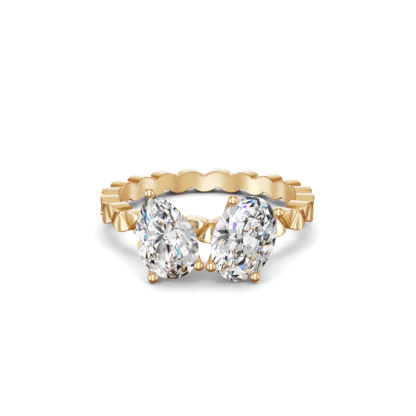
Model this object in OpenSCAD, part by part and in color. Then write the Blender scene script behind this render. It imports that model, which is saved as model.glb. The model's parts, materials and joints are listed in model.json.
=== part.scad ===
/* [Band] */
// Inside diameter of the band, the finger size
bore_d = 17; // [15:0.1:20]
// Wall of the band at the middle of a petal
band_wall = 1.8; // [1.6:0.05:2.4]
// Height of the band, from the crest of one rim to the crest of the other
band_h = 2.24; // [2:0.02:2.8]
// Petals on each rim, an even number so that the front and the back match
petals = 20; // [18:2:22]
// How far a petal's round end stands past the notches beside it
petal_rise = 0.48; // [0.3:0.02:0.6]
// Width of a petal's narrow end
tip_w = 0.4; // [0.3:0.02:0.6]
// How far a narrow end stands up in its notch
tip_rise = 0.08; // [0.04:0.02:0.16]
// How far a petal's face falls from its middle line to its edges
petal_dome = 0.16; // [0.06:0.02:0.24]
// Width of the slope on each side of a crease between two petals
crease_w = 0.32; // [0.24:0.02:0.4]
// Depth of the creases at the rims
crease_end = 0.5; // [0.3:0.02:0.6]
// Depth of the creases half way up the band
crease_mid = 0.28; // [0.16:0.02:0.4]
// How far a petal's face falls towards its narrow end
tip_fall = 0.24; // [0.1:0.02:0.3]
// How far the face of the band rounds over at its rims
rim_round = 0.07; // [0.04:0.01:0.14]
// Turn of the petals round the band, counted from the back
petal_turn = -2; // [-9:0.5:9]

/* [Stones] */
// Height of both girdles over the band's petals
stone_lift = 2.45; // [2.3:0.05:3]
// Outward turn of each stone
stone_fan = 10; // [4:1:14]
// Lean of each stone's long axis from upright
stone_lean = 18; // [12:1:22]
// Height of the crown over the girdle
crown_h = 0.8; // [0.6:0.02:1]
// Depth of the pavilion under the girdle
pavilion_h = 2.25; // [2:0.05:2.4]
// Thickness of the girdle at the facets' corners
girdle_h = 0.2; // [0.16:0.02:0.3]
// Table width as a share of the stone
table_share = 0.57; // [0.5:0.01:0.64]

/* [Pear stone] */
// Length of the pear stone from its point to its round end
pear_l = 7.66; // [6.6:0.02:8.2]
// Width of the pear stone
pear_w = 5.24; // [4.6:0.02:5.6]
// Height of the round end below the widest place
pear_belly = 2.96; // [2.5:0.02:3.2]
// Height of the culet over the widest place
pear_culet = 1; // [0.4:0.05:1.4]
// Sideways place of the pear stone's culet
pear_x = -3.63; // [-4:0.01:-3.5]
// Height of the pear stone's culet over the middle of the band
pear_z = 0.48; // [0.2:0.02:0.8]

/* [Oval stone] */
// Length of the oval stone
oval_l = 7.6; // [6.6:0.02:8.2]
// Width of the oval stone
oval_w = 5.44; // [4.8:0.02:5.6]
// Sideways place of the oval stone
oval_x = 3.12; // [3:0.01:3.6]
// Height of the oval stone's middle over the middle of the band
oval_z = 0.12; // [-0.2:0.02:0.4]

/* [Claws] */
// Diameter of a claw where it meets its ball tip
claw_d = 0.84; // [0.7:0.02:1]
// Diameter of a claw at its foot
claw_foot_d = 0.7; // [0.6:0.02:0.9]
// Diameter of the ball tips
bead_d = 0.92; // [0.8:0.02:1.1]
// How far the ball tips stand out from the girdle, before each claw's share
bead_out = 0.3; // [0.2:0.02:0.34]
// How far the ball tips stand in front of the girdle
bead_lift = 0.25; // [0.2:0.02:0.4]
// Height of the claws' feet above or below the middle of the band
foot_h = 0.38; // [0.2:0.02:0.5]
// Clearance between a stone and the notches of its claws
seat_gap = 0.03; // [0.02:0.01:0.06]

/* [Hidden] */

// Columns of points across half a petal as shares of its half width, and rows as shares of its height
column_shares = [0, 0.35, 0.65, 0.82, 0.92, 1];
row_shares = [0, 0.06, 0.2, 0.4, 0.6, 0.8, 0.94, 1];
// Segments of the girdle along each half facet
half_segments = 4;
// Heights at which the star facets and the lower half facets end, as shares of the crown and the pavilion
star_share = 0.69;
lower_share = 0.79;
// Half of the angle over which a tangent is taken
tangent_step = 1;
// Stock left inside the bore before it is drilled
bore_stock = 0.3;

half_columns = len(column_shares) - 1;
bore_r = bore_d/2;
band_r = bore_r + band_wall;
foot_r = bore_r + band_wall/2;
girdle_r = band_r + stone_lift;
pitch = 360/petals;
half_pitch = pitch/2;
notch_z = band_h/2 - petal_rise;
tip_angle = asin(tip_w/2/band_r);
wide_angle = half_pitch - tip_angle;
// The round end of a petal is an arc through the notches and the crest
petal_half_w = band_r*sin(wide_angle);
petal_arc_r = (petal_half_w*petal_half_w + petal_rise*petal_rise)/(2*petal_rise);

function mix(a, b, share) = a + (b - a)*share;
function clamp(value) = min(1, max(0, value));
function cross2(a, b) = a.x*b.y - a.y*b.x;

// Place of a stone: where its culet axis meets the girdle, its outward turn and its lean
pear_seat = [pear_x, pear_z, -stone_fan, -stone_lean];
oval_seat = [oval_x, oval_z, stone_fan, stone_lean];

// A point of a stone's own frame, width, length and height over the girdle, in the ring's frame
function on_ring(seat, p) =
    let (across = p.x*cos(seat[3]) + p.y*sin(seat[3]))
    let (along = -p.x*sin(seat[3]) + p.y*cos(seat[3]))
    [
        seat[0] + across*cos(seat[2]) + p.z*sin(seat[2]),
        -girdle_r + across*sin(seat[2]) - p.z*cos(seat[2]),
        seat[1] + along
    ];

module at_seat(seat) {
    translate([seat[0], -girdle_r, seat[1]])
        rotate([90, 0, seat[2]])
            rotate([0, 0, -seat[3]])
                children();
}

// Girdle outlines, by an angle that is 0 at the right and 90 at the top
function oval_outline(t) = [oval_w/2*cos(t), oval_l/2*sin(t)];

pear_flank = pear_l - pear_belly;
pear_flank_r = (pear_flank*pear_flank + pear_w*pear_w/4)/pear_w;
pear_flank_turn = asin(pear_flank/pear_flank_r);
function pear_outline(t) =
    let (a = t - 360*floor(t/360))
    let (turn = pear_flank_turn*(a <= 90 ? a : 180 - a)/90)
    let (x = pear_w/2 - pear_flank_r*(1 - cos(turn)))
    a > 180
        ? [pear_w/2*cos(a), pear_belly*sin(a) - pear_culet]
        : [a <= 90 ? x : -x, pear_flank_r*sin(turn) - pear_culet];

function pear_tangent(t) = pear_outline(t + tangent_step) - pear_outline(t - tangent_step);
function oval_tangent(t) = oval_outline(t + tangent_step) - oval_outline(t - tangent_step);

// Where two lines meet, each given by a point and a direction
function meet(p, d, q, e) = p + d*cross2(q - p, e)/cross2(d, e);
// Height of the plane through three points at a place in plan
function plane_height(a, b, c, p) =
    let (n = cross(b - a, c - a))
    a.z - (n.x*(p.x - a.x) + n.y*(p.y - a.y))/n.z;
function flat_at(p, z) = [p.x, p.y, z];

// A brilliant cut stone over a girdle outline: eight mains, sixteen halves, a table and a culet.
// The outline and its tangents are lists with one entry for each segment of the girdle.
module brilliant(outline, tangents) {
    mains = 8;
    step = 2*half_segments;
    count = mains*step;
    main_points = [for (k = [0:mains - 1]) outline[k*step]];
    main_lines = [for (k = [0:mains - 1]) tangents[k*step]];
    top = girdle_h/2;

    // Corners between neighbouring mains at a height where they have closed in by a share
    function between(share) = [
        for (k = [0:mains - 1])
            let (next = (k + 1)%mains)
            meet(main_points[k]*(1 - share), main_lines[k], main_points[next]*(1 - share), main_lines[next])
    ];
    function girdle_line(corners, z) = [
        for (i = [0:count - 1])
            let (start = floor(i/half_segments)*half_segments)
            let (end = (start + half_segments)%count)
            let (corner = corners[floor(i/step)])
            i == start
                ? flat_at(outline[i], z)
                : flat_at(outline[i], plane_height(
                    flat_at(outline[start], z), flat_at(outline[end], z), corner, outline[i]))
    ];

    star_z = top + crown_h*star_share;
    lower_z = -top - pavilion_h*lower_share;
    tables = [for (p = main_points) flat_at(p*table_share, top + crown_h)];
    stars = [for (p = between((1 - table_share)*star_share)) flat_at(p, star_z)];
    lowers = [for (p = between(lower_share)) flat_at(p, lower_z)];
    crown_line = girdle_line(stars, top);
    pavilion_line = girdle_line(lowers, -top);
    culet = [0, 0, -top - pavilion_h];

    star_0 = mains;
    crown_0 = star_0 + mains;
    pavilion_0 = crown_0 + count;
    lower_0 = pavilion_0 + count;
    culet_0 = lower_0 + mains;
    halves = 2*mains;

    polyhedron(
        points = concat(tables, stars, crown_line, pavilion_line, lowers, [culet]),
        faces = concat(
            [[for (k = [mains - 1:-1:0]) k]],
            [for (k = [0:mains - 1]) [k, (k + 1)%mains, star_0 + k]],
            [for (k = [0:mains - 1]) [k, star_0 + k, crown_0 + k*step, star_0 + (k + mains - 1)%mains]],
            [for (m = [0:halves - 1]) concat([star_0 + floor(m/2)],
                [for (i = [half_segments:-1:0]) crown_0 + (m*half_segments + i)%count])],
            [for (i = [0:count - 1]) [crown_0 + i, crown_0 + (i + 1)%count,
                pavilion_0 + (i + 1)%count, pavilion_0 + i]],
            [for (m = [0:halves - 1]) concat([lower_0 + floor(m/2)],
                [for (i = [0:half_segments]) pavilion_0 + (m*half_segments + i)%count])],
            [for (k = [0:mains - 1]) [culet_0, lower_0 + (k + mains - 1)%mains,
                pavilion_0 + k*step, lower_0 + k]]
        )
    );
}

girdle_angles = [for (i = [0:16*half_segments - 1]) i*22.5/half_segments];

module pear_brilliant() {
    brilliant([for (t = girdle_angles) pear_outline(t)], [for (t = girdle_angles) pear_tangent(t)]);
}

module oval_brilliant() {
    brilliant([for (t = girdle_angles) oval_outline(t)], [for (t = girdle_angles) oval_tangent(t)]);
}

// The room a stone needs in its claws
module pear_room() {
    at_seat(pear_seat) scale(1 + 2*seat_gap/pear_w) pear_brilliant();
}

module oval_room() {
    at_seat(oval_seat) scale(1 + 2*seat_gap/oval_w) oval_brilliant();
}

// Angle of the crease beside an upward petal, from that petal's middle line
function crease_angle(z) = mix(wide_angle, tip_angle, clamp((z + notch_z)/(2*notch_z)));
// Height of a round end over its notches, by the share of its half width from the middle
function round_end(share) =
    sqrt(petal_arc_r*petal_arc_r - pow(share*petal_half_w, 2)) - petal_arc_r + petal_rise;
function narrow_end(share) = tip_rise*(1 - share*share);
// Fall of a petal's face: across it to its edges, down into the creases, and along it to its narrow end
function face_fall(share, along, half_angle, z) =
    let (dome = share*share)
    let (half_w = band_r*half_angle*PI/180)
    let (slope = pow(max(0, 1 - (1 - share)*half_w/crease_w), 2))
    let (depth = mix(crease_mid, crease_end, min(1, pow(z/notch_z, 2))))
    petal_dome*dome + depth*slope + tip_fall*along*along*(1 - dome);

// Points up one column of the band's wall. Columns run from an upward petal's middle line over the
// crease to the middle line of the downward petal beside it, or the other way round that one.
function band_column(k, j) =
    let (mirrored = j > 2*half_columns)
    let (i = mirrored ? 4*half_columns - j : j)
    let (upward = i <= half_columns)
    let (share = column_shares[upward ? i : 2*half_columns - i])
    let (low = -notch_z - (upward ? round_end(share) : narrow_end(share)))
    let (high = notch_z + (upward ? narrow_end(share) : round_end(share)))
    let (outer = [
        for (row = row_shares)
            let (z = mix(low, high, row))
            let (half_angle = upward ? crease_angle(z) : half_pitch - crease_angle(z))
            let (side = upward ? share*half_angle : half_pitch - share*half_angle)
            let (angle = petal_turn + k*pitch + (mirrored ? pitch - side : side))
            let (rim = row == 0 || row == 1 ? rim_round : 0)
            let (r = band_r - face_fall(share, upward ? row : 1 - row, half_angle, z) - rim)
            [r*sin(angle), r*cos(angle), z]
    ])
    let (bottom = outer[0])
    let (top = outer[len(outer) - 1])
    let (in_share = (bore_r - bore_stock)/norm([bottom.x, bottom.y]))
    concat([[bottom.x*in_share, bottom.y*in_share, low]], outer, [[top.x*in_share, top.y*in_share, high]]);

module petal_band() {
    columns = [for (k = [0:petals - 1], j = [0:4*half_columns - 1]) band_column(k, j)];
    n = len(columns[0]);
    count = len(columns);
    polyhedron(
        points = [for (column = columns) each column],
        faces = [
            for (c = [0:count - 1], i = [0:n - 1])
                let (a = c*n + i)
                let (b = ((c + 1)%count)*n + i)
                let (d = c*n + (i + 1)%n)
                let (e = ((c + 1)%count)*n + (i + 1)%n)
                each [[a, b, e], [a, e, d]]
        ]
    );
}

// One claw: a tapered wire from its foot inside the band to its ball tip at the girdle
module claw(tip, foot_angle, foot_z) {
    foot = [foot_r*sin(foot_angle), -foot_r*cos(foot_angle), foot_z];
    way = tip - foot;
    translate(tip) sphere(d = bead_d, $fn = 48);
    translate(foot)
        rotate([0, acos(way.z/norm(way)), atan2(way.y, way.x)])
            cylinder(h = norm(way), d1 = claw_foot_d, d2 = claw_d, $fn = 48);
}

// Middle of a ball tip beside the girdle at an angle of its outline, out by a share of bead_out
function beside(p, tangent, share) =
    let (out = [tangent.y, -tangent.x]*bead_out*share/norm(tangent))
    [p.x + out.x, p.y + out.y, bead_lift];

// Claws, a row each: place on the girdle, foot's angle from the front of the band, foot's side,
// share of bead_out
pear_claws = [
    [90, -20, 1, 0.4],
    [225, -29, -1, 1.1],
    [315, -12, -1, 1]
];
oval_claws = [
    [48, 28, 1, 1],
    [132, 8, 1, 0.85],
    [228, 8, -1, 1],
    [312, 28, -1, 0.4]
];
pear_tips = [
    for (row = pear_claws) on_ring(pear_seat, beside(pear_outline(row[0]), pear_tangent(row[0]), row[3]))
];
oval_tips = [
    for (row = oval_claws) on_ring(oval_seat, beside(oval_outline(row[0]), oval_tangent(row[0]), row[3]))
];

module pear_setting() {
    difference() {
        for (i = [0:len(pear_claws) - 1])
            claw(pear_tips[i], pear_claws[i][1], pear_claws[i][2]*foot_h);
        pear_room();
    }
}

module oval_setting() {
    difference() {
        for (i = [0:len(oval_claws) - 1])
            claw(oval_tips[i], oval_claws[i][1], oval_claws[i][2]*foot_h);
        oval_room();
    }
}

// The ring lies on its side: the back of the band and the lowest point at the front touch the ground
front_lows = [
    for (t = girdle_angles) on_ring(pear_seat, flat_at(pear_outline(t), -girdle_h/2)),
    for (t = girdle_angles) on_ring(oval_seat, flat_at(oval_outline(t), -girdle_h/2)),
    for (tip = concat(pear_tips, oval_tips)) tip - [0, 0, bead_d/2]
];
back_rim_r = band_r - rim_round;
rest_tilt = max([for (p = front_lows) atan2(-p.z - band_h/2, back_rim_r - p.y)]);

module at_rest() {
    rotate([-rest_tilt, 0, 0]) children();
}

module ring_mount() {
    color([0.88, 0.72, 0.48])
        at_rest()
            difference() {
                union() {
                    petal_band();
                    pear_setting();
                    oval_setting();
                }
                cylinder(h = 2*band_h, r = bore_r, center = true, $fn = 128);
            }
}

module pear_stone() {
    color([0.9, 0.94, 0.98])
        at_rest()
            at_seat(pear_seat)
                pear_brilliant();
}

module oval_stone() {
    color([0.9, 0.94, 0.98])
        at_rest()
            at_seat(oval_seat)
                oval_brilliant();
}

ring_mount();
pear_stone();
oval_stone();
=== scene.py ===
import json
import math

import bmesh
import bpy
from mathutils import Matrix, Vector


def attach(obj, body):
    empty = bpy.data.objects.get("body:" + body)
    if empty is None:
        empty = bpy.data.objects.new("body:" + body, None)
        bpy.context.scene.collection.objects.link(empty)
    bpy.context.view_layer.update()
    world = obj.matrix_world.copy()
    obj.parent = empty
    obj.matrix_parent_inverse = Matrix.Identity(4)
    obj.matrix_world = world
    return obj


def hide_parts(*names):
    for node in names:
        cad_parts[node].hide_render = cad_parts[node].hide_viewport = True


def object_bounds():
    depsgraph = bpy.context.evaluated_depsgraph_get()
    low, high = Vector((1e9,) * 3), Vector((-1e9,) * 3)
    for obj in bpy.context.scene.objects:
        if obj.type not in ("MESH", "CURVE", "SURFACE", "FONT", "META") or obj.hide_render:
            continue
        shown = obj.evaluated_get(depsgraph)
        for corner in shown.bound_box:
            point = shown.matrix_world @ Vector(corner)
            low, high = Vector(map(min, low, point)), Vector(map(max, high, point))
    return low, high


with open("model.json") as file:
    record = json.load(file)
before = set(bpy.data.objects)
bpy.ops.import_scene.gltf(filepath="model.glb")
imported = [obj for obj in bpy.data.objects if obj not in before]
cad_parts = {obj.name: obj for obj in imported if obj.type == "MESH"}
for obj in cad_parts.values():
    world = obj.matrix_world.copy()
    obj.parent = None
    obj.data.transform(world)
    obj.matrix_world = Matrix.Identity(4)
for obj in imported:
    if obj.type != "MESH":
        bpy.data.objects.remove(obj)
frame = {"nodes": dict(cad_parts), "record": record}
cad_box = [list(corner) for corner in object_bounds()]

# The band
# A cast ring of polished yellow gold. Its outside is carved into two rows of petals that point up and down by
# turns, with a V groove between neighbours, and its rims follow the petals' round ends in scallops.
mm = 0.001
finger_hole = frame["record"]["mounts"][0]
bore_r = finger_hole["dims"]["r_mm"]*mm
band_wall = 1.8*mm
band_r = bore_r + band_wall
band_h = 2.24*mm
petals = 20
petal_turn = math.radians(-2)
petal_rise = 0.48*mm
tip_w = 0.4*mm
tip_rise = 0.08*mm
petal_dome = 0.16*mm
crease_w = 0.32*mm
crease_end = 0.5*mm
crease_mid = 0.28*mm
tip_fall = 0.24*mm
rim_round = 0.07*mm
inner_round = 0.08*mm
half_columns = 12
crowding = 1.8
face_rows = 26
corner_rows = 4
inner_rows = 10
weld = 0.0005*mm

notch_z = band_h/2 - petal_rise
half_pitch = math.pi/petals
tip_angle = math.asin(tip_w/2/band_r)
wide_angle = half_pitch - tip_angle
petal_half_w = band_r*math.sin(wide_angle)
petal_arc_r = (petal_half_w**2 + petal_rise**2)/(2*petal_rise)

# The ring lies on its side, leaning on the claws' ball tips, so the finger hole's axis isn't quite upright
hole_axis = Vector(finger_hole["axis"])
lie = Matrix.Rotation(-math.atan2(hole_axis.y, hole_axis.z), 4, "X")


def mix(a, b, share):
    return a + (b - a)*share


def crease_angle(z):
    """The crease's angle from the middle of the petal whose narrow end is up."""
    return mix(wide_angle, tip_angle, min(1, max(0, (z + notch_z)/(2*notch_z))))


def round_end(share):
    return math.sqrt(petal_arc_r**2 - (share*petal_half_w)**2) - petal_arc_r + petal_rise


def narrow_end(share):
    return tip_rise*(1 - share**2)


def corner(radius, rising):
    """Quarter round of a rim, as pairs of fall and run, from the rim or towards it."""
    turns = [row/corner_rows*math.pi/2 for row in range(corner_rows + 1)]
    if not rising:
        turns = turns[::-1]
    return [(radius*(1 - math.sin(t)), radius*(1 - math.cos(t))) for t in turns]


def band_column(j):
    """Closed loop of points round the band's wall at column j of one pitch, as angle, radius and height."""
    mirrored = j > 2*half_columns
    i = 4*half_columns - j if mirrored else j
    upward = i <= half_columns
    share = 1 - (1 - (i if upward else 2*half_columns - i)/half_columns)**crowding
    low = -notch_z - (round_end(share) if upward else narrow_end(share))
    high = notch_z + (narrow_end(share) if upward else round_end(share))

    def half_angle(z):
        return crease_angle(z) if upward else half_pitch - crease_angle(z)

    def angle_at(z):
        side = share*half_angle(z) if upward else half_pitch - share*half_angle(z)
        return 2*half_pitch - side if mirrored else side

    def face_r(z):
        along = (z - low)/(high - low)
        along = along if upward else 1 - along
        slope = max(0, 1 - (1 - share)*band_r*half_angle(z)/crease_w)**2
        depth = mix(crease_mid, crease_end, min(1, (z/notch_z)**2))
        return band_r - petal_dome*share**2 - depth*slope - tip_fall*along**2*(1 - share**2)

    heights = [(low + run, fall) for fall, run in corner(rim_round, True)]
    heights += [(mix(low + rim_round, high - rim_round, row/face_rows), 0) for row in range(1, face_rows)]
    heights += [(high - run, fall) for fall, run in corner(rim_round, False)]
    loop = [(angle_at(z), face_r(z) - fall, z) for z, fall in heights]

    inner = [(high - run, fall) for fall, run in corner(inner_round, True)]
    inner += [(mix(high - inner_round, low + inner_round, row/inner_rows), 0) for row in range(1, inner_rows)]
    inner += [(low + run, fall) for fall, run in corner(inner_round, False)]
    loop += [(angle_at(z), bore_r + fall, z) for z, fall in inner]
    return loop


pitch_columns = [band_column(j) for j in range(4*half_columns + 1)]
loop_count = len(pitch_columns[0])
pitch_points = [
    (r*math.sin(angle), r*math.cos(angle), z)
    for column in pitch_columns for angle, r, z in column
]
pitch_faces = []
for column in range(4*half_columns):
    near = column*loop_count
    far = near + loop_count
    for i in range(loop_count):
        onward = (i + 1) % loop_count
        pitch_faces.append((near + i, far + i, far + onward, near + onward))
pitch_mesh = bpy.data.meshes.new("petal_pair")
pitch_mesh.from_pydata(pitch_points, [], pitch_faces)
ring_mount = bpy.data.objects.new("gold_ring_mount", pitch_mesh)
bpy.context.scene.collection.objects.link(ring_mount)


def maths(operation, swapped=False):
    """A Python operator for wires that adds a Math node."""
    def operator(wire, other):
        first, second = (other, wire) if swapped else (wire, other)
        return wire.node("ShaderNodeMath", {"operation": operation}, {0: first, 1: second})
    return operator


class Wire:
    """A socket of a node tree. Operators on it add Math nodes, and node() adds a node of any other kind."""
    __add__, __radd__ = maths("ADD"), maths("ADD", True)
    __sub__, __rsub__ = maths("SUBTRACT"), maths("SUBTRACT", True)
    __mul__, __rmul__ = maths("MULTIPLY"), maths("MULTIPLY", True)
    __truediv__, __rtruediv__ = maths("DIVIDE"), maths("DIVIDE", True)
    __pow__, __rpow__ = maths("POWER"), maths("POWER", True)
    __lt__, __gt__ = maths("LESS_THAN"), maths("GREATER_THAN")

    def __init__(self, tree, socket=None):
        self.tree = tree
        self.socket = socket

    def __abs__(self):
        return self.node("ShaderNodeMath", {"operation": "ABSOLUTE"}, {0: self})

    def node(self, kind, settings=None, values=None, output=0):
        made = self.tree.nodes.new(kind)
        for name, setting in (settings or {}).items():
            if name == "stops":
                while len(made.color_ramp.elements) < len(setting):
                    made.color_ramp.elements.new(0.5)
                for stop, (place, colour) in zip(made.color_ramp.elements, setting):
                    stop.position = place
                    stop.color = (*colour, 1)
            else:
                setattr(made, name, setting)
        for name, value in (values or {}).items():
            if isinstance(value, Wire):
                self.tree.links.new(value.socket, made.inputs[name])
            else:
                made.inputs[name].default_value = value
        return Wire(self.tree, made.outputs[output] if len(made.outputs) else None)


def blended(share, first, second):
    """The colour that fades from the first to the second by this share."""
    return share.node("ShaderNodeMix", {"data_type": "RGBA"}, {"Factor": share, 6: first, 7: second}, 2)


def new_material(name):
    """An empty node material, and a wire to its tree."""
    material = bpy.data.materials.new(name)
    material.use_nodes = True
    material.node_tree.nodes.clear()
    return material, Wire(material.node_tree)


gold, wire = new_material("polished_yellow_gold")
place = wire.node("ShaderNodeTexCoord", output="Object")
cloud = wire.node("ShaderNodeTexNoise", values={"Vector": place, "Scale": 420, "Detail": 3})
swirl = wire.node("ShaderNodeTexNoise", values={
    "Vector": place, "Scale": 5200, "Detail": 4, "Roughness": 0.6})
tone = blended(cloud, (0.88, 0.67, 0.35, 1), (0.9, 0.7, 0.38, 1))
# The finger hole's wall is left satin, and its rounded corners get painted shade: a darker gold that draws a
# dark line along the rims' inner edges
satin_edge = 0.005*mm
painted_shade_gold = (0.5, 0.28, 0.07, 1)
from_axis = wire.node("ShaderNodeVectorMath", {"operation": "CROSS_PRODUCT"}, {0: place, 1: hole_axis})
hole_r = wire.node("ShaderNodeVectorMath", {"operation": "LENGTH"}, {0: from_axis}, "Value")
satin = hole_r < bore_r + satin_edge
# Painted shade along the rounded inner corners of the finger hole
painted_corner_shade = (hole_r < bore_r + inner_round)*(1 - satin)
tone = blended(painted_corner_shade*0.8, tone, painted_shade_gold)
# Diamonds show little of their mount, so the gold seen through them is painted greyer: a painted change to
# what the stones show, not the gold's own colour
through_stone = wire.node("ShaderNodeLightPath", output="Is Transmission Ray")
tone = blended(through_stone*0.8, tone, (0.8, 0.8, 0.8, 1))
polish = wire.node("ShaderNodeBump", values={"Strength": 0.02, "Distance": 0.02*mm, "Height": swirl})
shader = wire.node("ShaderNodeBsdfPrincipled", values={
    "Base Color": tone,
    "Metallic": 1 - satin*0.15,
    "Roughness": cloud*0.06 + swirl*0.05 + 0.07 + satin*0.1,
    "Normal": polish,
})
wire.node("ShaderNodeOutputMaterial", values={"Surface": shader})


def new_shape_tree(name, sizes):
    """A Geometry Nodes tree that takes a mesh and named sizes, and a wire to each of its inputs."""
    tree = bpy.data.node_groups.new(name, "GeometryNodeTree")
    tree.interface.new_socket("Geometry", in_out="INPUT", socket_type="NodeSocketGeometry")
    for size, kind in sizes.items():
        tree.interface.new_socket(size, in_out="INPUT", socket_type=kind)
    tree.interface.new_socket("Geometry", in_out="OUTPUT", socket_type="NodeSocketGeometry")
    start = tree.nodes.new("NodeGroupInput")
    return tree, {size: Wire(tree, start.outputs[size]) for size in ["Geometry", *sizes]}


def shape_with(piece, tree, sizes):
    """Runs a tree on a piece with these sizes and keeps the result as the piece's own mesh."""
    modifier = piece.modifiers.new("shape", "NODES")
    modifier.node_group = tree
    for socket in tree.interface.items_tree:
        if socket.in_out == "INPUT" and socket.name in sizes:
            modifier[socket.identifier] = sizes[socket.name]
    seen = piece.evaluated_get(bpy.context.evaluated_depsgraph_get())
    made = bpy.data.meshes.new_from_object(seen)
    piece.modifiers.remove(modifier)
    piece.data = made


ring_tree, given = new_shape_tree("petals_round_the_band", {
    "Petals": "NodeSocketInt", "Turn": "NodeSocketFloat", "Weld": "NodeSocketFloat"})
wire = given["Geometry"]
spots = wire.node("GeometryNodePoints", values={"Count": given["Petals"]})
index = wire.node("GeometryNodeInputIndex")
turn = given["Turn"] - index*math.tau/given["Petals"]
spin = wire.node("ShaderNodeCombineXYZ", values={"Z": turn})
copies = wire.node("GeometryNodeInstanceOnPoints", values={
    "Points": spots, "Instance": given["Geometry"], "Rotation": spin})
real = wire.node("GeometryNodeRealizeInstances", values={"Geometry": copies})
whole = wire.node("GeometryNodeMergeByDistance", values={"Geometry": real, "Distance": given["Weld"]})
golden = wire.node("GeometryNodeSetMaterial", values={"Geometry": whole, "Material": gold})
wire.node("NodeGroupOutput", values={0: golden})
shape_with(ring_mount, ring_tree, {"Petals": petals, "Turn": -petal_turn, "Weld": weld})

# The claws
# Seven tapered gold wires with ball tips, soldered to the front of the band. Three hold the pear stone and
# four the oval, and each is notched where the stone's edge sits in it.
stone_lift = 2.45*mm
stone_fan = math.radians(10)
stone_lean = math.radians(18)
pear_l = 7.66*mm
pear_w = 5.24*mm
pear_belly = 2.96*mm
pear_culet = 1*mm
pear_x = -3.63*mm
pear_z = 0.48*mm
oval_l = 7.6*mm
oval_w = 5.44*mm
oval_x = 3.12*mm
oval_z = 0.12*mm
claw_r = 0.42*mm
claw_foot_r = 0.35*mm
claw_flare = 0.16*mm
flare_power = 8
bead_r = 0.46*mm
bead_out = 0.3*mm
bead_lift = 0.25*mm
foot_h = 0.38*mm
seat_gap = 0.03*mm
claw_steps = 24
claw_sides = 40
ball_splits = 5
sharpest_round = math.radians(35)
foot_ring_r = (bore_r + band_r)/2


def seat(x, z, side):
    """Takes a stone's own width, length and height, from the middle of its girdle, to the lying ring."""
    fan = Matrix.Rotation(side*stone_fan, 4, "Z")
    lean = Matrix.Rotation(-side*stone_lean, 4, "Z")
    place = Matrix.Translation((x, -band_r - stone_lift, z))
    return lie @ place @ fan @ Matrix.Rotation(math.pi/2, 4, "X") @ lean


def pear_outline(turn):
    """The pear's girdle: a half ellipse below, and two arcs that meet in the point above."""
    if turn > math.pi:
        return Vector((pear_w/2*math.cos(turn), pear_belly*math.sin(turn) - pear_culet))
    flank = pear_l - pear_belly
    flank_r = (flank**2 + pear_w**2/4)/pear_w
    swing = math.asin(flank/flank_r)*(1 - abs(1 - turn/(math.pi/2)))
    x = pear_w/2 - flank_r*(1 - math.cos(swing))
    return Vector((math.copysign(x, math.pi/2 - turn), flank_r*math.sin(swing) - pear_culet))


def oval_outline(turn):
    return Vector((oval_w/2*math.cos(turn), oval_l/2*math.sin(turn)))


def claw_ends(outline, stone_seat, turn, foot_turn, side, share):
    """Foot of a claw in the band's wall, and middle of its ball tip. The turns are in degrees."""
    turn = math.radians(turn)
    foot_turn = math.radians(foot_turn)
    step = math.radians(1)
    tangent = outline(turn + step) - outline(turn - step)
    out = Vector((tangent.y, -tangent.x)).normalized()
    tip = outline(turn) + out*bead_out*share
    foot = Vector((foot_ring_r*math.sin(foot_turn), -foot_ring_r*math.cos(foot_turn), side*foot_h))
    return lie @ foot, stone_seat @ Vector((tip.x, tip.y, bead_lift))


pear_seat = seat(pear_x, pear_z, -1)
oval_seat = seat(oval_x, oval_z, 1)
# Each row: place round the girdle, turn of the foot from the band's front, foot's side, share of bead_out
pear_claws = [(90, -20, 1, 0.4), (225, -29, -1, 1.1), (315, -12, -1, 1)]
oval_claws = [(48, 28, 1, 1), (132, 8, 1, 0.85), (228, 8, -1, 1), (312, 28, -1, 0.4)]
claw_points = []
for row in pear_claws:
    claw_points += claw_ends(pear_outline, pear_seat, *row)
for row in oval_claws:
    claw_points += claw_ends(oval_outline, oval_seat, *row)
claw_mesh = bpy.data.meshes.new("claw_lines")
claw_mesh.from_pydata(claw_points, [(i, i + 1) for i in range(0, len(claw_points), 2)], [])
to_tip = claw_mesh.attributes.new("to_tip", "FLOAT", "POINT")
for i, share in enumerate(to_tip.data):
    share.value = i % 2
claws = bpy.data.objects.new("claws", claw_mesh)
bpy.context.scene.collection.objects.link(claws)

claw_tree, given = new_shape_tree("claws_with_ball_tips", {
    "Tip radius": "NodeSocketFloat", "Foot radius": "NodeSocketFloat", "Flare": "NodeSocketFloat",
    "Ball radius": "NodeSocketFloat", "Steps": "NodeSocketInt", "Sides": "NodeSocketInt"})
wire = given["Geometry"]
lines = wire.node("GeometryNodeMeshToCurve", values={"Mesh": given["Geometry"]})
steps = wire.node("GeometryNodeResampleCurve", values={"Curve": lines, "Count": given["Steps"]})
share = wire.node("GeometryNodeInputNamedAttribute", {"data_type": "FLOAT"}, {"Name": "to_tip"})
taper = given["Foot radius"] + share*(given["Tip radius"] - given["Foot radius"])
flare = given["Flare"]*(1 - share)**flare_power
round_line = wire.node("GeometryNodeCurvePrimitiveCircle", values={
    "Resolution": given["Sides"], "Radius": 1.0})
shafts = wire.node("GeometryNodeCurveToMesh", values={
    "Curve": steps, "Profile Curve": round_line, "Scale": taper + flare, "Fill Caps": True})
ball = wire.node("GeometryNodeMeshIcoSphere", values={
    "Radius": given["Ball radius"], "Subdivisions": ball_splits})
tips = wire.node("GeometryNodeInstanceOnPoints", values={
    "Points": given["Geometry"], "Selection": share, "Instance": ball})
balls = wire.node("GeometryNodeRealizeInstances", values={"Geometry": tips})
claw_metal = wire.node("GeometryNodeMeshBoolean", {"operation": "UNION", "solver": "MANIFOLD"}, {1: shafts})
claw_tree.links.new(balls.socket, claw_metal.socket.node.inputs[1])
golden = wire.node("GeometryNodeSetMaterial", values={"Geometry": claw_metal, "Material": gold})
wire.node("NodeGroupOutput", values={0: golden})
shape_with(claws, claw_tree, {
    "Tip radius": claw_r, "Foot radius": claw_foot_r, "Flare": claw_flare, "Ball radius": bead_r,
    "Steps": claw_steps, "Sides": claw_sides})


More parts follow.
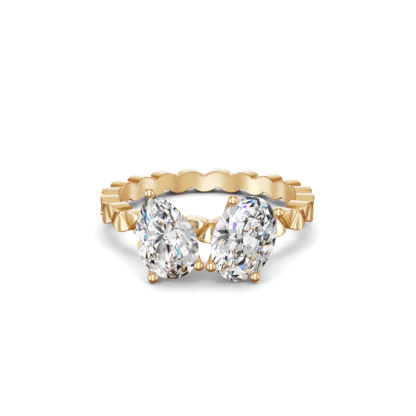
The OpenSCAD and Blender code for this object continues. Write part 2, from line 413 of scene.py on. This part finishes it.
def stone_room(stone, stone_seat, width):
    """The space that a stone takes in its claws, a little larger than the stone."""
    grow = Matrix.Scale(1 + 2*seat_gap/width, 4)
    room_mesh = stone.data.copy()
    room_mesh.transform(stone_seat @ grow @ stone_seat.inverted())
    shell = bmesh.new()
    shell.from_mesh(room_mesh)
    bmesh.ops.remove_doubles(shell, verts=shell.verts, dist=weld)
    shell.to_mesh(room_mesh)
    shell.free()
    room = bpy.data.objects.new("room", room_mesh)
    bpy.context.scene.collection.objects.link(room)
    return room


def joined(piece, tool, operation):
    """Cuts a tool from a piece or solders it on, and clears the tool away."""
    modifier = piece.modifiers.new(operation, "BOOLEAN")
    modifier.operation = operation
    modifier.solver = "MANIFOLD"
    modifier.object = tool
    made = bpy.data.meshes.new_from_object(piece.evaluated_get(bpy.context.evaluated_depsgraph_get()))
    piece.modifiers.remove(modifier)
    piece.data = made
    bpy.data.objects.remove(tool)


joined(claws, stone_room(frame["nodes"]["pear_stone"], pear_seat, pear_w), "DIFFERENCE")
joined(claws, stone_room(frame["nodes"]["oval_stone"], oval_seat, oval_w), "DIFFERENCE")
ring_mount.data.transform(lie)
joined(ring_mount, claws, "UNION")
ring_mount.data.shade_smooth()
ring_mount.data.set_sharp_from_angle(angle=sharpest_round)
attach(ring_mount, "root")
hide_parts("ring_mount")

# The stones
# A pear and an oval, both cut as brilliants from colourless diamond, with polished facets. They lean away
# from each other in their claws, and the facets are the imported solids' own.
pear_stone = frame["nodes"]["pear_stone"]
oval_stone = frame["nodes"]["oval_stone"]
diamond, wire = new_material("colourless_diamond")
diamond_ior = 2.42
leaving_ior = 1.05
most_turns = 4
bright = {"Color": (1, 1, 1, 1), "Roughness": 0}
place = wire.node("ShaderNodeTexCoord", output="Object")
cloud = wire.node("ShaderNodeTexNoise", values={"Vector": place, "Scale": 900, "Detail": 3})
clear = wire.node("ShaderNodeBsdfGlass", values={**bright, "IOR": diamond_ior})
entry = wire.node("ShaderNodeBsdfRefraction", values={**bright, "IOR": diamond_ior})
leave = wire.node("ShaderNodeBsdfRefraction", values={**bright, "IOR": leaving_ior})
# From outside, a facet mirrors a small and slightly uneven share of what glass would. From inside it is glass
# in full, until the ray has turned often enough to leave
inside = wire.node("ShaderNodeNewGeometry", output="Backfacing")
turns = wire.node("ShaderNodeLightPath", output="Ray Depth")
polish = 0.1 + cloud*0.3
facet = wire.node("ShaderNodeMixShader", values={0: inside + (1 - inside)*polish, 1: entry, 2: clear})
shader = wire.node("ShaderNodeMixShader", values={0: turns > most_turns, 1: facet, 2: leave})
wire.node("ShaderNodeOutputMaterial", values={"Surface": shader})
for stone in (pear_stone, oval_stone):
    stone.data.materials.clear()
    stone.data.materials.append(diamond)

# The floor
# A plain white table top under the ring, which takes its shadow. The stones' rays and most of the gold's pass
# through it to the studio, so that both keep their contrast.
floor_size = 3
floor_z = cad_box[0][2]
floor_corners = [(x*floor_size, y*floor_size, floor_z) for x, y in ((-1, -1), (1, -1), (1, 1), (-1, 1))]
floor_mesh = bpy.data.meshes.new("floor")
floor_mesh.from_pydata(floor_corners, [], [(0, 1, 2, 3)])
floor = bpy.data.objects.new("floor", floor_mesh)
bpy.context.scene.collection.objects.link(floor)


def sent_by(wire):
    """Masks for the rays that a stone sends, and for those that the gold reflects."""
    from_stone = wire.node("ShaderNodeLightPath", output="Is Transmission Ray")
    return from_stone, wire.node("ShaderNodeLightPath", output="Is Glossy Ray")*(1 - from_stone)


paper, wire = new_material("white_paper")
from_stone, from_metal = sent_by(wire)
white = wire.node("ShaderNodeBsdfDiffuse", values={"Color": (0.9, 0.9, 0.9, 1)})
open_way = wire.node("ShaderNodeBsdfTransparent")
shader = wire.node("ShaderNodeMixShader", values={0: from_stone + from_metal*0.95, 1: white, 2: open_way})
wire.node("ShaderNodeOutputMaterial", values={"Surface": shader})
floor_mesh.materials.append(paper)

# The light
# A white photo tent lights the paper. Polished gold and diamonds look right only among light and dark places,
# so the gold sees a warm room with a few darker gaps instead, and the stones see cards from black to white.
world = bpy.data.worlds.new("photo_tent")
world.use_nodes = True
world.node_tree.nodes.clear()
bpy.context.scene.world = world
wire = Wire(world.node_tree)
sight = wire.node("ShaderNodeTexCoord", output="Generated")
sharp = 0.03
crisp = 0.06
soft = 0.12
softest = 0.35


def along(x, y, z):
    return wire.node("ShaderNodeVectorMath", {"operation": "DOT_PRODUCT"}, {0: sight, 1: (x, y, z)}, "Value")


def fading(share, half, edge):
    """1 inside a panel's half size, falling to 0 past its edge."""
    return wire.node("ShaderNodeMapRange", {"interpolation_type": "SMOOTHSTEP"}, {
        "Value": abs(share), "From Min": half, "From Max": half + edge, "To Min": 1.0, "To Max": 0.0})


def panel(side, lift, half_wide, half_high, edge):
    """A mask over the sky for a flat panel, so far round from the camera's side to its right, and so high."""
    side, lift = math.radians(side), math.radians(lift)
    ahead = along(math.sin(side)*math.cos(lift), -math.cos(side)*math.cos(lift), math.sin(lift))
    across = along(math.cos(side), math.sin(side), 0)
    upward = along(-math.sin(side)*math.sin(lift), math.cos(side)*math.sin(lift), math.cos(lift))
    return fading(across/ahead, half_wide, edge)*fading(upward/ahead, half_high, edge)*(ahead > 0)


def lit(level, panels):
    """A light with panels added: each has a side, a lift, a half width and height, an edge and its light."""
    for side, lift, half_wide, half_high, edge, light in panels:
        level = level + panel(side, lift, half_wide, half_high, edge)*light
    return level


def grey(level):
    return wire.node("ShaderNodeCombineColor", values={"Red": level, "Green": level, "Blue": level})


# What lights the paper: a panel overhead, a pale back wall and a strip at each side
tent = lit(0.4, [
    (180, 68, 0.6, 0.45, soft, 2.6), (180, 12, 1.2, 0.45, soft, 1.7),
    (-62, 30, 0.12, 0.7, soft, 2.9), (62, 30, 0.12, 0.7, soft, 2.9)])

# What the stones see: cards of four greys, and a few small coloured ones that give the fire
card_shift = (3, 0, 0)
card_spot = wire.node("ShaderNodeVectorMath", {"operation": "ADD"}, {0: sight, 1: card_shift})
card_scale = 2.6
blackest = 0.01
card_steps = ((0.3, 0.19), (0.44, 0.35), (0.62, 0.4))
gel_scale = 9
gel_share = 0.05


def random_cell(scale, part):
    """A random number for each cell of a pattern over the sky, another for Red than for Green."""
    cell = wire.node("ShaderNodeTexVoronoi", values={"Vector": card_spot, "Scale": scale}, output="Color")
    return wire.node("ShaderNodeSeparateColor", values={"Color": cell}, output=part)


card_pick = random_cell(card_scale, "Red")
card_level = blackest
for above, step in card_steps:
    card_level = card_level + (card_pick > above)*step
gel_colour = wire.node("ShaderNodeValToRGB", {"stops": [
    (0.1, (0.02, 0.08, 0.8)), (0.35, (0.25, 0.6, 1)), (0.5, (0, 0.55, 0.55)), (0.56, (1, 0.3, 0.02)),
    (0.7, (1, 0.7, 0.05)), (0.8, (0.9, 0.03, 0.02)), (0.95, (0.4, 0.1, 0.8))]},
    {"Fac": random_cell(gel_scale, "Green")})
cards = blended(random_cell(gel_scale, "Red") > 1 - gel_share, grey(card_level), gel_colour)

# What the gold sees: a room with pale panels in front, behind and overhead, and darker gaps between them. It
# falls off towards the floor, and goes from deep orange where it is dark to cool white where it is bright
room_top = 1.6
room_gain = 2.6
low_start = -0.3
low_end = -0.75
low_loss = 0.65
room = lit(0.78, [
    (-5, 5, 0.2, 1.2, soft, 0.46), (41, 5, 0.05, 1.2, sharp, -0.45), (-41, 5, 0.05, 1.2, sharp, -0.35),
    (-64, 0, 0.08, 0.6, soft, 0.6), (180, 10, 0.12, 0.2, softest, 0.21), (0, 62, 0.35, 0.22, crisp, 1.2)])
for side in (-1, 1):
    room = lit(room, [
        (side*84, 10, 0.1, 0.4, soft, 0.5), (side*99, 0, 0.02, 0.8, sharp, -0.5),
        (side*116, -18, 0.06, 0.3, soft, 0.25), (side*145, -22, 0.3, 0.35, soft, -0.28),
        (side*130, 42, 0.25, 0.3, soft, -0.4)])
room = room - wire.node("ShaderNodeMapRange", {"interpolation_type": "SMOOTHSTEP"}, {
    "Value": along(0, 0, 1), "From Min": low_start, "From Max": low_end, "To Min": 0.0, "To Max": low_loss})
room_colour = wire.node("ShaderNodeValToRGB", {"stops": [
    (0, (0.11, 0.04, 0)), (0.21, (0.16, 0.075, 0.012)), (0.39, (0.25, 0.185, 0.08)),
    (0.51, (0.31, 0.3, 0.28)), (0.68, (0.41, 0.5, 0.74)), (0.82, (0.5, 0.61, 1)), (1, (0.6, 0.7, 1))]},
    {"Fac": room/room_top})
room_light = wire.node("ShaderNodeVectorMath", {"operation": "SCALE"}, {0: room_colour, "Scale": room_gain})

from_stone, from_metal = sent_by(wire)
glow = blended(from_metal, blended(from_stone, grey(tent), cards), room_light)
sky = wire.node("ShaderNodeBackground", values={"Color": glow, "Strength": 1.0})
wire.node("ShaderNodeOutputWorld", values={"Surface": sky})

# The camera
# It stands where the photo was taken from: in front of the stones, and 15 degrees above the ring's own middle
# plane, which leans as the ring lies. Its focal length and place were fitted to the photo.
photo_side = 416
focal_pixels = 1054
look_down = math.radians(15)
camera_away = 101.6*mm
aim_x = -0.07*mm
aim_up = 0.565*mm
back = Vector((0, -math.cos(look_down), math.sin(look_down)))
up = Vector((0, math.sin(look_down), math.cos(look_down)))
right = Vector((1, 0, 0))
eye = back*camera_away - right*aim_x - up*aim_up
view_matrix = Matrix.Translation(eye) @ Matrix((right, up, back)).transposed().to_4x4()
camera_data = bpy.data.cameras.new("camera")
camera_data.lens = camera_data.sensor_width*focal_pixels/photo_side
camera_data.clip_start = 0.005
camera_data.clip_end = 20
camera = bpy.data.objects.new("camera", camera_data)
camera.matrix_world = lie @ view_matrix
bpy.context.scene.collection.objects.link(camera)
bpy.context.scene.camera = camera

most_bounces = 12
cycles = bpy.context.scene.cycles
cycles.use_denoising = True
cycles.caustics_reflective = False
cycles.caustics_refractive = False
cycles.max_bounces = most_bounces
cycles.glossy_bounces = most_bounces
cycles.transmission_bounces = most_bounces
bpy.context.scene.view_settings.view_transform = "Standard"
